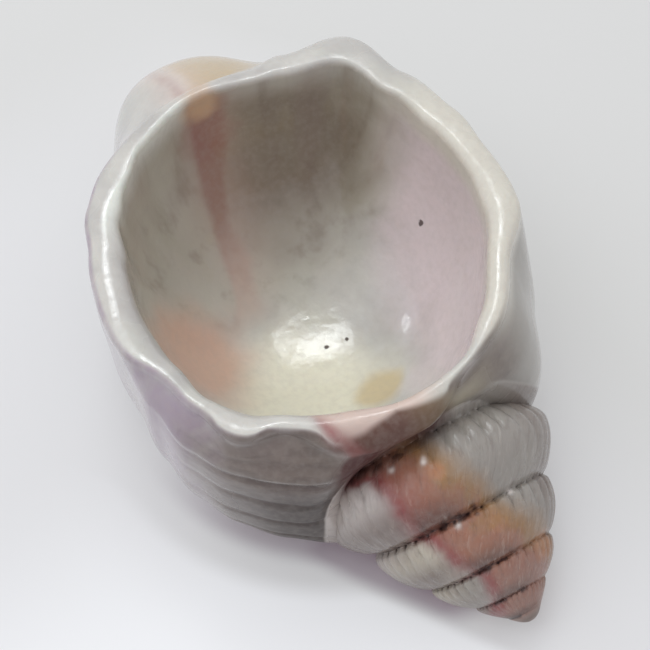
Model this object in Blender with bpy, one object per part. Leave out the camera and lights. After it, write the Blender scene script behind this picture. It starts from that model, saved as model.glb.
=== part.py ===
"""A carved stone dish in the shape of a spired sea shell.

It is one piece of polished banded stone. A round bowl has lobes cut into its thick lip. Behind
the bowl a blunt knob stands out, where a real shell has its canal, and in front of it a short
coiled spire slopes down to the table. The bowl stands on the flat ground under its middle.

Units are metres and +Z is up. The shapes are worked out round the bowl's own upright axis, with
+X running to the spire. At the end the whole piece is moved so that the origin lies under its
middle, on the surface that it stands on.
"""

import math

import bmesh
import bpy
from mathutils import Matrix, Vector

MM = 0.001

# The bowl. Angles run round its middle, counter-clockwise from +X, where the spire is.
RIM_HEIGHT = 44.0 * MM
BELLY_HEIGHT = 20.0 * MM
FLOOR_THICKNESS = 7.0 * MM
FLOOR_RADIUS = 34.0 * MM
FOOT_ROUND = 2.0 * MM
FOOT_RISE = 0.6 * MM
HOLLOW_SHIFT = Vector((-2.5 * MM, 0.0, 0.0))
LIP_DROP = 1.0 * MM
LIP_ROUNDING = 0.6
EDGE_DEPTH = 6.0 * MM

# The lip and the wall round the bowl. Each row has its angle in degrees, then in millimetres the
# inner edge of the lip, its crest, its outer edge and how far that lies below the crest, the
# widest part of the wall below, the foot, and how far the wall would reach without the lip.
LOBES = (
    (-4.0, 34.9, 36.6, 40.3, 4.4, 42.0, 33.0, 40.8),
    (14.0, 35.3, 36.6, 37.3, 2.2, 44.0, 33.0, 38.6),
    (31.0, 33.6, 36.1, 37.9, 2.4, 47.3, 33.0, 38.9),
    (50.0, 32.6, 34.9, 36.9, 2.6, 44.0, 32.0, 37.2),
    (70.0, 33.5, 36.8, 40.5, 2.6, 43.2, 31.0, 40.5),
    (88.0, 34.2, 36.2, 40.4, 2.6, 43.6, 31.0, 40.4),
    (103.0, 34.9, 36.5, 42.2, 3.0, 44.4, 31.0, 42.2),
    (120.0, 37.2, 38.1, 44.5, 3.2, 46.6, 31.0, 44.5),
    (136.0, 41.3, 42.4, 50.0, 3.6, 50.0, 31.0, 50.0),
    (152.0, 38.3, 39.7, 44.6, 3.0, 45.6, 31.5, 44.6),
    (161.0, 37.8, 38.6, 41.9, 2.5, 45.2, 32.0, 41.9),
    (180.0, 38.9, 39.8, 41.8, 2.0, 45.3, 32.0, 41.8),
    (200.0, 37.6, 38.5, 41.7, 2.4, 45.2, 32.0, 41.7),
    (213.0, 36.0, 36.9, 42.1, 3.0, 44.4, 31.0, 42.1),
    (224.0, 34.9, 37.6, 41.4, 3.0, 42.4, 30.5, 41.4),
    (238.0, 32.6, 36.4, 39.5, 3.0, 40.0, 29.5, 39.6),
    (252.0, 32.2, 36.5, 39.0, 2.8, 39.0, 29.0, 39.4),
    (269.0, 31.8, 38.0, 38.8, 1.9, 38.4, 28.5, 38.8),
    (283.0, 32.6, 36.0, 36.8, 2.0, 40.4, 30.0, 39.0),
    (296.0, 34.4, 37.0, 37.9, 2.2, 42.8, 32.0, 41.0),
    (308.0, 34.0, 39.0, 40.2, 3.2, 44.2, 34.5, 42.2),
    (320.0, 33.3, 36.0, 37.0, 2.2, 45.0, 37.5, 41.6),
    (336.0, 33.2, 36.0, 40.8, 4.6, 46.4, 39.5, 42.2),
)

# The knob: the middle of its bulge, its half width round the wall, and how far it stands out.
KNOB_ANGLE = 174.5
KNOB_HALF_ANGLE = 21.0
KNOB_REACH = 18.5 * MM

# The level grooves carved round the wall beside the spire.
GROOVE_HEIGHTS = (13.0 * MM, 20.5 * MM, 28.0 * MM, 34.3 * MM)
GROOVE_ANGLE = math.radians(322.0)
GROOVE_DEPTH = 0.6 * MM
GROOVE_HALF_WIDTH = 1.2 * MM

# The crevice between the bowl and the spire: how far its wall stands from the spire's tip, and
# the angles and the heights between which the bowl's wall is cut back to it.
CREVICE_DISTANCE = 39.5 * MM
CREVICE_START = math.radians(-38.0)
CREVICE_END = math.radians(25.0)
CREVICE_EASE = math.radians(18.0)
CREVICE_ROUND = 2.0 * MM
CREVICE_LOW = 11.0 * MM
CREVICE_HIGH = 26.0 * MM

# The spire: its tip, how its axis runs, the size of its cone, and how its whorls grow.
SPIRE_TIP = Vector((71.5 * MM, 0.9 * MM, 5.0 * MM))
SPIRE_HEADING = math.radians(-1.7)
SPIRE_DROP = math.radians(15.0)
SPIRE_LENGTH = 42.0 * MM
SPIRE_WIDEST = 26.6 * MM
SPIRE_FLARE = 22.0 * MM
SPIRE_CLEARANCE = 0.4 * MM
TIP_ROUND = 2.6 * MM
ROOT_START = 30.0 * MM
ROOT_TAPER = 0.3
ROOT_FULLNESS = 0.75
FIRST_SUTURE = 6.2 * MM
WHORL_START = 6.4 * MM
WHORL_GROWTH = 1.525
WHORL_BULGE = 0.12
LAST_BULGE = 0.04
SUTURE_DEPTH = 0.05
SUTURE_WIDTH = 0.07
SUTURE_LEVEL = 0.5

# How finely the faces are cut.
BOWL_SEGMENTS = 96
LIP_RINGS = 8
HOLLOW_RINGS = 10
SPIRE_SEGMENTS = 44
SPIRE_RINGS = 32

STONE_COLOUR = (0.61, 0.58, 0.50, 1.0)
STONE_ROUGHNESS = 0.2


def clear_scene():
    """Removes whatever the scene starts with."""
    for old in list(bpy.data.objects):
        bpy.data.objects.remove(old, do_unlink=True)


def smooth_step(low, high, value):
    """0 below low, 1 above high, and a smooth rise between them."""
    share = min(1.0, max(0.0, (value - low) / (high - low)))
    return share * share * (3.0 - 2.0 * share)


def lobe_at(angle):
    """The measures at an angle: a row of the table above, without its angle."""
    first = LOBES[0][0]
    turn = (math.degrees(angle) - first) % 360.0 + first
    index = max(i for i in range(len(LOBES)) if LOBES[i][0] <= turn)
    here, after = LOBES[index], LOBES[(index + 1) % len(LOBES)]
    share = (turn - here[0]) / ((after[0] - here[0]) % 360.0)
    ease = 0.5 - 0.5 * math.cos(math.pi * share)
    inner, crest, outer, fall, belly, foot, shoulder = (
        MM * (a + (b - a) * ease) for a, b in zip(here[1:], after[1:])
    )
    knob = abs(turn - KNOB_ANGLE) / KNOB_HALF_ANGLE
    belly += KNOB_REACH * math.exp(-(knob**2.6))
    return inner, crest, outer, fall, belly, foot, shoulder


def wall_radius(angle, height, top, measures):
    """The outer wall's distance from the bowl's axis at a height."""
    _, _, outer, _, belly, foot, shoulder = measures
    if height < BELLY_HEIGHT:
        rise = height / BELLY_HEIGHT
        radius = foot + (belly - foot) * (1.0 - (1.0 - rise) ** 2.4) ** 0.75
    else:
        rise = (height - BELLY_HEIGHT) / (top - BELLY_HEIGHT)
        edge = max(0.0, 1.0 - (top - height) / EDGE_DEPTH)
        radius = belly + (shoulder - belly) * rise * rise + (outer - shoulder) * edge**1.6
    nearness = max(0.0, math.cos(0.5 * (angle - GROOVE_ANGLE))) ** 60
    for groove in GROOVE_HEIGHTS:
        offset = (height - groove) / GROOVE_HALF_WIDTH
        radius -= GROOVE_DEPTH * nearness * math.exp(-offset * offset)
    return crevice_radius(angle, height, radius)


def crevice_radius(angle, height, radius):
    """The wall's distance from the bowl's axis, cut back to the crevice behind the spire."""
    turn = math.remainder(angle, 2.0 * math.pi)
    near = smooth_step(CREVICE_START, CREVICE_START + CREVICE_EASE, turn)
    near *= 1.0 - smooth_step(CREVICE_END - CREVICE_EASE, CREVICE_END, turn)
    near *= smooth_step(CREVICE_LOW, CREVICE_HIGH, height)
    if near == 0.0:
        return radius
    axis = spire_axis()
    leaning = -axis.dot(Vector((math.cos(turn), math.sin(turn), 0.0)))
    limit = (height * axis.z - SPIRE_TIP.dot(axis) - CREVICE_DISTANCE) / leaning
    excess = radius - limit
    return radius - near * 0.5 * (excess + math.hypot(excess, CREVICE_ROUND))


def spire_axis():
    """The direction from the spire's tip to its root."""
    level = Vector((-math.cos(SPIRE_HEADING), -math.sin(SPIRE_HEADING), 0.0))
    return level * math.cos(SPIRE_DROP) + Vector((0.0, 0.0, math.sin(SPIRE_DROP)))


def wall_heights(top):
    """The heights of the wall's rings: the grooves, their midways and the lip's edge."""
    marks = (FOOT_RISE, 6.8 * MM) + GROOVE_HEIGHTS
    heights = []
    for low, high in zip(marks, marks[1:]):
        heights += [low, 0.5 * (low + high)]
    last = marks[-1]
    return heights + [last, 0.5 * (last + top), top]


def around(angle, radius, height):
    """A point at an angle and a distance from the bowl's axis."""
    return Vector((radius * math.cos(angle), radius * math.sin(angle), height))


def bowl_section(angle):
    """The points of one upright section of the bowl, from the foot over the lip to the floor."""
    measures = lobe_at(angle)
    inner, crest, outer, outer_fall, _, foot, _ = measures
    inner_fall = LIP_DROP + LIP_ROUNDING * (crest - inner)
    outer_top = RIM_HEIGHT - outer_fall
    inner_top = RIM_HEIGHT - inner_fall
    points = [Vector((0.0, 0.0, 0.0))]
    points += [around(angle, (foot - FOOT_ROUND) * share, 0.0) for share in (0.5, 1.0)]
    for height in wall_heights(outer_top):
        points.append(around(angle, wall_radius(angle, height, outer_top, measures), height))
    for step in range(1, LIP_RINGS + 1):
        turn = math.pi * step / LIP_RINGS
        out = math.cos(turn)
        edge, fall = (outer, outer_fall) if out > 0.0 else (inner, inner_fall)
        radius = crest + (edge - crest) * abs(out) ** 0.9
        points.append(around(angle, radius, RIM_HEIGHT - fall * (1.0 - math.sin(turn) ** 0.9)))
    for step in range(1, HOLLOW_RINGS + 1):
        turn = 0.5 * math.pi * step / (HOLLOW_RINGS + 0.7)
        share = math.cos(turn) ** 0.75
        radius = (inner * share + FLOOR_RADIUS * (1.0 - share)) * share
        height = FLOOR_THICKNESS + (inner_top - FLOOR_THICKNESS) * (1.0 - math.sin(turn))
        points.append(around(angle, radius, height) + HOLLOW_SHIFT * (1.0 - share))
    points.append(HOLLOW_SHIFT + Vector((0.0, 0.0, FLOOR_THICKNESS)))
    return points


def spire_radius(distance, turn):
    """The spire's radius at a distance from its tip, with the whorls wound round it.

    The turn is measured from the top of the spire. The grooves cross the top more squarely
    than an even helix would, which SUTURE_LEVEL sets.
    """
    cone = SPIRE_WIDEST * (1.0 - math.exp(-distance / SPIRE_FLARE))
    rounding = 2.0 * TIP_ROUND * distance * math.exp(-distance / TIP_ROUND)
    envelope = math.sqrt(cone * cone + rounding)
    fullness = ROOT_FULLNESS * math.exp(-(((turn - 1.0) / 0.45) ** 2))
    narrowing = ROOT_TAPER * (0.3 + 0.7 * abs(math.sin(turn)) ** 1.5) * (1.0 - fullness)
    envelope *= 1.0 - narrowing * smooth_step(ROOT_START, SPIRE_LENGTH, distance)
    scale = (distance + WHORL_START) / (FIRST_SUTURE + WHORL_START)
    whorl = math.log(scale) / math.log(WHORL_GROWTH)
    share = (whorl - (turn - SUTURE_LEVEL * math.sin(turn)) / (2.0 * math.pi)) % 1.0
    bulge = WHORL_BULGE + LAST_BULGE * smooth_step(20.0 * MM, 30.0 * MM, distance)
    bulge *= math.sin(math.pi * share**0.9) ** 0.8
    offset = min(share, 1.0 - share) / SUTURE_WIDTH
    depth = SUTURE_DEPTH * math.exp(-offset * offset)
    return envelope * (1.0 + smooth_step(0.0, FIRST_SUTURE, distance) * (bulge - depth))


def spire_section(turn):
    """The points of one line along the spire, from its tip to its root in the bowl's wall."""
    axis = spire_axis()
    side = axis.cross(Vector((0.0, 0.0, 1.0))).normalized()
    side = -side if side.y > 0.0 else side
    upward = axis.cross(side)
    upward = -upward if upward.z < 0.0 else upward
    out = upward * math.cos(turn) + side * math.sin(turn)
    points = [SPIRE_TIP]
    for step in range(1, SPIRE_RINGS + 1):
        distance = SPIRE_LENGTH * (step / SPIRE_RINGS) ** 1.25
        point = SPIRE_TIP + axis * distance + out * spire_radius(distance, turn)
        point.z = max(point.z, SPIRE_CLEARANCE)
        points.append(point)
    points.append(SPIRE_TIP + axis * SPIRE_LENGTH)
    return points


def shaped_sphere(name, segments, section):
    """A closed object: a sphere whose every meridian is bent along a section of points."""
    rings = len(section(0.0)) - 1
    mesh = bmesh.new()
    bmesh.ops.create_uvsphere(mesh, u_segments=segments, v_segments=rings, radius=1.0)
    for vertex in mesh.verts:
        ring = round(rings * math.acos(max(-1.0, min(1.0, -vertex.co.z))) / math.pi)
        vertex.co = section(math.atan2(vertex.co.y, vertex.co.x))[ring]
    bmesh.ops.recalc_face_normals(mesh, faces=mesh.faces)
    data = bpy.data.meshes.new(name)
    mesh.to_mesh(data)
    mesh.free()
    made = bpy.data.objects.new(name, data)
    bpy.context.scene.collection.objects.link(made)
    return made


def stone_material():
    """The polished stone."""
    stone = bpy.data.materials.new("banded_stone")
    stone.use_nodes = True
    surface = stone.node_tree.nodes["Principled BSDF"]
    surface.inputs["Base Color"].default_value = STONE_COLOUR
    surface.inputs["Roughness"].default_value = STONE_ROUGHNESS
    surface.inputs["Metallic"].default_value = 0.0
    return stone


def join_spire(dish, spire):
    """Makes the spire one stone with the dish, and keeps its own form only as a guide."""
    union = dish.modifiers.new("spire", "BOOLEAN")
    union.operation = "UNION"
    union.solver = "EXACT"
    union.object = spire
    spire.hide_render = True
    spire.display_type = "WIRE"


def centre_over_base(forms):
    """Moves the forms together so that the origin lies under the middle of the whole."""
    places = [vertex.co for form in forms for vertex in form.data.vertices]
    middle_x = 0.5 * (min(p.x for p in places) + max(p.x for p in places))
    middle_y = 0.5 * (min(p.y for p in places) + max(p.y for p in places))
    for form in forms:
        form.data.transform(Matrix.Translation((-middle_x, -middle_y, 0.0)))


def main():
    """Builds the dish."""
    clear_scene()
    dish = shaped_sphere("shell_dish", BOWL_SEGMENTS, bowl_section)
    spire = shaped_sphere("spire_form", SPIRE_SEGMENTS, spire_section)
    centre_over_base((dish, spire))
    join_spire(dish, spire)
    for form in (dish, spire):
        form.data.shade_smooth()
        form.data.set_sharp_from_angle(angle=math.radians(50.0))
        form.data.materials.append(stone_material())


if __name__ == "__main__":
    main()
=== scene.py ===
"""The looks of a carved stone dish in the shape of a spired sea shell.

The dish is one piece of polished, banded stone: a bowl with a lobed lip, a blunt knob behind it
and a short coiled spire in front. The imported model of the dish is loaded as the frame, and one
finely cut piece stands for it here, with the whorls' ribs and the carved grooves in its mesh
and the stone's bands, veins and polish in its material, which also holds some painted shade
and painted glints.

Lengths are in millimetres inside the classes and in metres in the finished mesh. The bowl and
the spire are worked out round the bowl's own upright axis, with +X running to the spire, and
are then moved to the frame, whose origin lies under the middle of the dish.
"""

import logging
import math
from dataclasses import astuple, dataclass, field, replace
from enum import Enum
from functools import lru_cache
from typing import Callable

import bmesh
import bpy
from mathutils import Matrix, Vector


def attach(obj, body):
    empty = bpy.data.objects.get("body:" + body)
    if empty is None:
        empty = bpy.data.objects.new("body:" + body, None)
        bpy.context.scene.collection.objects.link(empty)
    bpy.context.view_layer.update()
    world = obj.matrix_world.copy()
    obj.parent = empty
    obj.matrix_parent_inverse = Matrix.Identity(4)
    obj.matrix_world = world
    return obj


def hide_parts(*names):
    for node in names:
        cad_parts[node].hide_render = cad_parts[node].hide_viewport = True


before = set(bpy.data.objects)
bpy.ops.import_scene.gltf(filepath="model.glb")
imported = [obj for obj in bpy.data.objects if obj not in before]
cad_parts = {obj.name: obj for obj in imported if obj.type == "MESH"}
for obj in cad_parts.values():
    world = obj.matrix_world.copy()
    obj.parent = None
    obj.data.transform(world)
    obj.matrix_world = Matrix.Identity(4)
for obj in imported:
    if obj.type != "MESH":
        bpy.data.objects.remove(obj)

LOG = logging.getLogger("shell_dish")
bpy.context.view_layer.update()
MM = 0.001

Colour = tuple[float, float, float]
Line = tuple[tuple[float, float], ...]
Section = Callable[[float], list[Vector]]


def smooth_step(low: float, high: float, value: float) -> float:
    """Returns 0 below low, 1 above high and a smooth rise between them."""
    share = min(1.0, max(0.0, (value - low) / (high - low)))
    return share * share * (3.0 - 2.0 * share)


def bump(offset: float, width: float) -> float:
    """Returns a bell that is 1 at no offset and falls to a third at one width."""
    return math.exp(-((offset / width) ** 2))


@dataclass(frozen=True)
class Lobe:
    """The lip and the wall at one angle round the bowl.

    Args:
        angle: round the bowl from the spire, in degrees.
        inner: the lip's inner edge, in mm from the bowl's axis.
        crest: the lip's highest line, in mm.
        outer: the lip's outer edge, in mm.
        fall: how far the outer edge lies below the crest, in mm.
        belly: the widest part of the wall below it, in mm.
        foot: the edge of the foot below it, in mm.
        shoulder: how far the wall would reach at the top without the lip's own edge, in mm.
    """

    angle: float
    inner: float
    crest: float
    outer: float
    fall: float
    belly: float
    foot: float
    shoulder: float


@dataclass
class Spire:
    """The coiled spire: its place, its cone, its whorls and their ribs. Lengths are in mm.

    A turn is an angle round the axis in radians, 0 at the top of the spire and counted up
    towards -Y. The whorls' bulge, the sutures and the ribs are shares of the spire's radius.
    """

    tip: Vector = field(default_factory=lambda: Vector((71.5, 0.9, 5.0)))
    heading: float = math.radians(-1.7)
    drop: float = math.radians(15.0)
    length: float = 42.0
    widest: float = 26.6
    flare: float = 22.0
    clearance: float = 0.4
    tip_round: float = 2.6
    root_start: float = 30.0
    root_taper: float = 0.3
    root_top_share: float = 0.3
    root_fullness: float = 0.75
    root_full_turn: float = 1.0
    root_full_spread: float = 0.45
    first_suture: float = 6.2
    whorl_start: float = 6.4
    whorl_growth: float = 1.525
    whorl_bulge: float = 0.12
    bulge_lean: float = 0.9
    bulge_fullness: float = 0.8
    last_bulge: float = 0.04
    last_whorl: tuple[float, float] = (20.0, 30.0)
    right_swell: float = 0.05
    swell_turn: float = -1.0
    swell_spread: float = 0.5
    swell_distance: float = 9.0
    swell_length: float = 5.0
    suture_depth: float = 0.05
    suture_width: float = 0.05
    suture_level: float = 0.5
    suture_fading: tuple[float, float] = (-0.5, 0.4)
    rib_count: int = 38
    rib_slant: float = 1.6
    rib_height: float = 0.05
    rib_fullness: float = 0.8
    rib_level: float = 0.7
    rib_unevenness: float = 0.35
    rib_least: float = 0.25
    rib_shoulder: tuple[float, float] = (0.5, 0.9)
    ring_crowding: float = 1.25
    segments: int = 456
    rings: int = 142

    def axis(self) -> Vector:
        """Returns the direction from the tip to the root."""
        level = Vector((-math.cos(self.heading), -math.sin(self.heading), 0.0))
        return level * math.cos(self.drop) + Vector((0.0, 0.0, math.sin(self.drop)))

    def side(self) -> Vector:
        """Returns the level direction across the spire towards -Y, where turns count up."""
        across = self.axis().cross(Vector((0.0, 0.0, 1.0))).normalized()
        return -across if across.y > 0.0 else across

    def upward(self) -> Vector:
        """Returns the direction out of the top of the spire, where the turn is 0."""
        out = self.axis().cross(self.side())
        return -out if out.z < 0.0 else out

    def share_of_whorl(self, distance: float, turn: float) -> float:
        """Works out where a point lies on its whorl.

        Args:
            distance: along the axis from the tip.
            turn: the angle round the axis from the top of the spire.

        Returns:
            How far across the whorl it lies, from 0 at one suture to 1 at the next.
        """
        scale = (distance + self.whorl_start) / (self.first_suture + self.whorl_start)
        whorl = math.log(scale) / math.log(self.whorl_growth)
        return (whorl - (turn - self.suture_level * math.sin(turn)) / math.tau) % 1.0

    def radius(self, distance: float, turn: float) -> float:
        """Works out the spire's radius at a point.

        Args:
            distance: along the axis from the tip.
            turn: the angle round the axis from the top of the spire.

        Returns:
            The radius, with the whorls, the sutures and the ribs.
        """
        cone = self.widest * (1.0 - math.exp(-distance / self.flare))
        rounding = 2.0 * self.tip_round * distance * math.exp(-distance / self.tip_round)
        envelope = math.sqrt(cone * cone + rounding)
        swell = self.right_swell * bump(turn - self.swell_turn, self.swell_spread)
        envelope *= 1.0 + swell * bump(distance - self.swell_distance, self.swell_length)
        sides = (1.0 - self.root_top_share) * abs(math.sin(turn)) ** 1.5
        narrowing = self.root_taper * (self.root_top_share + sides)
        full = bump(turn - self.root_full_turn, self.root_full_spread)
        narrowing *= 1.0 - self.root_fullness * full
        envelope *= 1.0 - narrowing * smooth_step(self.root_start, self.length, distance)
        share = self.share_of_whorl(distance, turn)
        bulge = self.whorl_bulge + self.last_bulge * smooth_step(*self.last_whorl, distance)
        bulge *= math.sin(math.pi * share**self.bulge_lean) ** self.bulge_fullness
        suture = bump(min(share, 1.0 - share), self.suture_width)
        leftward = 0.5 + 0.5 * smooth_step(*self.suture_fading, turn)
        depth = self.suture_depth * suture * leftward
        grown = smooth_step(0.0, self.first_suture, distance)
        return envelope * (1.0 + grown * (bulge + self.ribs(share, turn) - depth))

    def ribs(self, share: float, turn: float) -> float:
        """Works out the fine ribs that run across a whorl.

        Args:
            share: how far across its whorl the point lies, from 0 to 1.
            turn: the angle round the axis from the top of the spire.

        Returns:
            How far the point stands out or lies in, as a share of the spire's radius.
        """
        wave = 0.5 * self.rib_count * turn + self.rib_slant * share
        bead = abs(math.sin(wave)) ** self.rib_fullness
        slow, quick = math.sin(3.7 * turn + 7.0 * share), math.sin(8.3 * turn + 1.0)
        uneven = 1.0 - self.rib_unevenness + self.rib_unevenness * slow * quick
        shoulder = self.rib_least + smooth_step(*self.rib_shoulder, share)
        return self.rib_height * (bead - self.rib_level) * uneven * shoulder

    def section(self, turn: float) -> list[Vector]:
        """Draws one line along the spire.

        Args:
            turn: the angle of the line round the axis from the top of the spire.

        Returns:
            The line's points, from the tip to the root.
        """
        turn = math.remainder(turn, math.tau)
        axis = self.axis()
        out = self.upward() * math.cos(turn) + self.side() * math.sin(turn)
        points = [self.tip.copy()]
        for step in range(1, self.rings + 1):
            distance = self.length * (step / self.rings) ** self.ring_crowding
            point = self.tip + axis * distance + out * self.radius(distance, turn)
            point.z = max(point.z, self.clearance)
            points.append(point)
        points.append(self.tip + axis * self.length)
        return points


@dataclass
class Bowl:
    """The bowl: foot, wall, lobed lip, knob, grooves and hollow. Lengths are in mm."""

    rim_height: float = 44.0
    belly_height: float = 20.0
    floor_thickness: float = 7.0
    floor_radius: float = 34.0
    foot_round: float = 2.0
    foot_rise: float = 0.6
    foot_curve: tuple[float, float] = (2.4, 0.75)
    hollow_shift: Vector = field(default_factory=lambda: Vector((-2.5, 0.0, 0.0)))
    hollow_curve: float = 0.75
    edge_depth: float = 6.0
    edge_curve: float = 1.6
    lip_drop: float = 1.0
    lip_rounding: float = 0.6
    lip_curve: float = 0.9
    knob_angle: float = 174.5
    knob_half_angle: float = 21.0
    knob_reach: float = 18.5
    knob_curve: float = 2.6
    groove_heights: tuple[float, ...] = (13.0, 20.5, 28.0, 34.3, 38.0)
    groove_angle: float = math.radians(322.0)
    groove_depths: tuple[float, ...] = (0.45, 0.4, 0.4, 0.8, 0.3)
    groove_half_width: float = 0.75
    groove_fading: int = 60
    crevice_distance: float = 39.5
    crevice_start: float = math.radians(-38.0)
    crevice_end: float = math.radians(25.0)
    crevice_ease: float = math.radians(18.0)
    crevice_round: float = 2.0
    crevice_low: float = 11.0
    crevice_high: float = 26.0
    segments: int = 320
    wall_rings: int = 36
    wall_end: float = 0.99
    usual_top: float = 40.6
    groove_rings: tuple[float, ...] = (-1.2, -0.75, -0.4, 0.0, 0.4, 0.75, 1.2)
    lip_rings: int = 20
    hollow_rings: int = 34
    last_ring_gap: float = 0.7
    lobes: tuple[Lobe, ...] = (
        Lobe(-4.0, 34.9, 36.6, 40.3, 4.4, 42.0, 33.0, 40.8),
        Lobe(14.0, 35.3, 36.6, 37.3, 2.2, 44.0, 33.0, 38.6),
        Lobe(31.0, 33.6, 36.1, 37.9, 2.4, 47.3, 33.0, 38.9),
        Lobe(50.0, 32.6, 34.9, 36.9, 2.6, 44.0, 32.0, 37.2),
        Lobe(70.0, 33.5, 36.8, 40.5, 2.6, 43.2, 31.0, 40.5),
        Lobe(88.0, 34.2, 36.2, 40.4, 2.6, 43.6, 31.0, 40.4),
        Lobe(103.0, 34.9, 36.5, 42.2, 3.0, 44.4, 31.0, 42.2),
        Lobe(120.0, 37.2, 38.1, 44.5, 3.2, 46.6, 31.0, 44.5),
        Lobe(136.0, 41.3, 42.4, 50.0, 3.6, 50.0, 31.0, 50.0),
        Lobe(152.0, 38.3, 39.7, 44.6, 3.0, 45.6, 31.5, 44.6),
        Lobe(161.0, 37.8, 38.6, 41.9, 2.5, 45.2, 32.0, 41.9),
        Lobe(180.0, 38.9, 39.8, 41.8, 2.0, 45.3, 32.0, 41.8),
        Lobe(200.0, 37.6, 38.5, 41.7, 2.4, 45.2, 32.0, 41.7),
        Lobe(213.0, 36.0, 36.9, 42.1, 3.0, 44.4, 31.0, 42.1),
        Lobe(224.0, 34.9, 37.6, 41.4, 3.0, 42.4, 30.5, 41.4),
        Lobe(238.0, 32.6, 36.4, 39.5, 3.0, 40.0, 29.5, 39.6),
        Lobe(252.0, 32.2, 36.5, 39.0, 2.8, 39.0, 29.0, 39.4),
        Lobe(269.0, 31.8, 38.0, 38.8, 1.9, 38.4, 28.5, 38.8),
        Lobe(283.0, 32.6, 36.0, 36.8, 2.0, 40.4, 30.0, 39.0),
        Lobe(296.0, 34.4, 37.0, 37.9, 2.2, 42.8, 32.0, 41.0),
        Lobe(308.0, 34.0, 39.0, 40.2, 3.2, 44.2, 34.5, 42.2),
        Lobe(320.0, 33.3, 36.0, 37.0, 2.2, 45.0, 37.5, 41.6),
        Lobe(336.0, 33.2, 36.0, 40.8, 4.6, 46.4, 39.5, 42.2),
    )

    def lobe_at(self, angle: float) -> Lobe:
        """Finds the lip's and the wall's measures between the nearest lobes.

        Args:
            angle: round the bowl from the spire, in radians.

        Returns:
            The measures at that angle, with the knob in them.
        """
        first = self.lobes[0].angle
        turn = (math.degrees(angle) - first) % 360.0 + first
        index = max(i for i, lobe in enumerate(self.lobes) if lobe.angle <= turn)
        here = astuple(self.lobes[index])
        after = astuple(self.lobes[(index + 1) % len(self.lobes)])
        share = (turn - here[0]) / ((after[0] - here[0]) % 360.0)
        ease = 0.5 - 0.5 * math.cos(math.pi * share)
        measures = [start + (end - start) * ease for start, end in zip(here[1:], after[1:])]
        lobe = Lobe(turn, *measures)
        knob = abs(turn - self.knob_angle) / self.knob_half_angle
        reach = self.knob_reach * math.exp(-(knob**self.knob_curve))
        return replace(lobe, belly=lobe.belly + reach)

    def wall_radius(
        self, angle: float, height: float, top: float, lobe: Lobe, spire: Spire
    ) -> float:
        """Works out the outer wall, with its grooves and the crevice by the spire.

        Args:
            angle: round the bowl, in radians.
            height: above the table.
            top: the height at which the wall meets the lip there.
            lobe: the measures at that angle.
            spire: the spire, which the wall is cut back from.

        Returns:
            The wall's distance from the bowl's axis.
        """
        if height < self.belly_height:
            rise = height / self.belly_height
            swell, lean = self.foot_curve
            radius = lobe.foot + (lobe.belly - lobe.foot) * (1.0 - (1.0 - rise) ** swell) ** lean
        else:
            rise = (height - self.belly_height) / (top - self.belly_height)
            radius = lobe.belly + (lobe.shoulder - lobe.belly) * rise * rise
            edge = max(0.0, 1.0 - (top - height) / self.edge_depth)
            radius += (lobe.outer - lobe.shoulder) * edge**self.edge_curve
        nearness = max(0.0, math.cos(0.5 * (angle - self.groove_angle))) ** self.groove_fading
        for groove, depth in zip(self.groove_heights, self.groove_depths):
            radius -= depth * nearness * bump(height - groove, self.groove_half_width)
        return self.cut_crevice(angle, height, radius, spire)

    def cut_crevice(self, angle: float, height: float, radius: float, spire: Spire) -> float:
        """Cuts the wall back to the crevice between it and the spire.

        Args:
            angle: round the bowl, in radians.
            height: above the table.
            radius: the wall's distance from the bowl's axis without the crevice.
            spire: the spire, along which the crevice runs.

        Returns:
            The wall's distance from the bowl's axis.
        """
        turn = math.remainder(angle, math.tau)
        near = smooth_step(self.crevice_start, self.crevice_start + self.crevice_ease, turn)
        near *= 1.0 - smooth_step(self.crevice_end - self.crevice_ease, self.crevice_end, turn)
        near *= smooth_step(self.crevice_low, self.crevice_high, height)
        if near == 0.0:
            return radius
        axis = spire.axis()
        leaning = -axis.dot(Vector((math.cos(turn), math.sin(turn), 0.0)))
        limit = (height * axis.z - spire.tip.dot(axis) - self.crevice_distance) / leaning
        excess = radius - limit
        return radius - near * 0.5 * (excess + math.hypot(excess, self.crevice_round))

    def wall_shares(self) -> list[float]:
        """Spaces the wall's rings, with more of them at the grooves.

        Returns:
            How far up the wall each ring lies, from 0 to 1.
        """
        full = self.usual_top - self.foot_rise
        marks = [step / self.wall_rings for step in range(self.wall_rings)]
        for groove in self.groove_heights:
            marks += [(groove + offset - self.foot_rise) / full for offset in self.groove_rings]
        return sorted(mark for mark in marks if mark < self.wall_end)

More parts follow.
